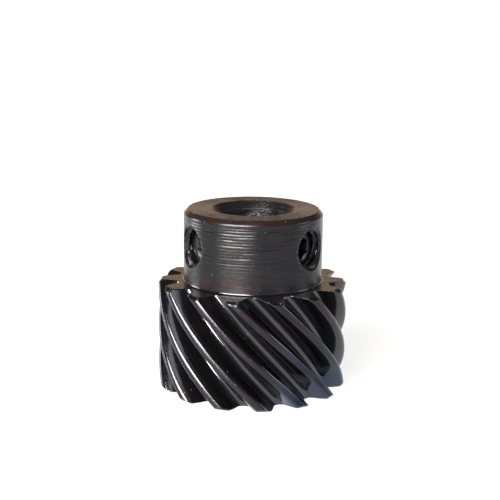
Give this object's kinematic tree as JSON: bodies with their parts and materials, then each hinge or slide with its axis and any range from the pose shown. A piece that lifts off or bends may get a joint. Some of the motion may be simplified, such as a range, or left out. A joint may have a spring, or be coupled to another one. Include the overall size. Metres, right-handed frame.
{
  "type": "helical gear",
  "caption": "Left-hand helical gear with a plain shaft bore and a hub clamped to its shaft by radial hexagon-socket set screws.",
  "frame": {"origin": "on the bore's axis, in the plane of the toothed end face", "axes": "+Z along the bore's axis from the toothed end towards the hub's free end; -Y is the front, between the two front set screws"},
  "size_m": [0.0272, 0.0272, 0.026],
  "materials": {
    "gear_steel": "glossy black oxide on machined steel, with turning marks on the hub",
    "screw_steel": "satin black oxide"
  },
  "bodies": {
    "gear": {"helical_gear": "gear_steel"},
    "rear_screw": {"rear_set_screw": "screw_steel"},
    "left_screw": {"left_set_screw": "screw_steel"},
    "right_screw": {"right_set_screw": "screw_steel"}
  },
  "joints": [
    {"name": "rear_screw_travel", "type": "slide", "parent": "gear", "child": "rear_screw", "axis": [0.0593, 0.9982, 0], "range_m": [-0.001, 0.004]},
    {"name": "left_screw_travel", "type": "slide", "parent": "gear", "child": "left_screw", "axis": [-0.8942, -0.4478, 0], "range_m": [-0.001, 0.004]},
    {"name": "right_screw_travel", "type": "slide", "parent": "gear", "child": "right_screw", "axis": [0.8348, -0.5505, 0], "range_m": [-0.001, 0.004]}
  ]
}
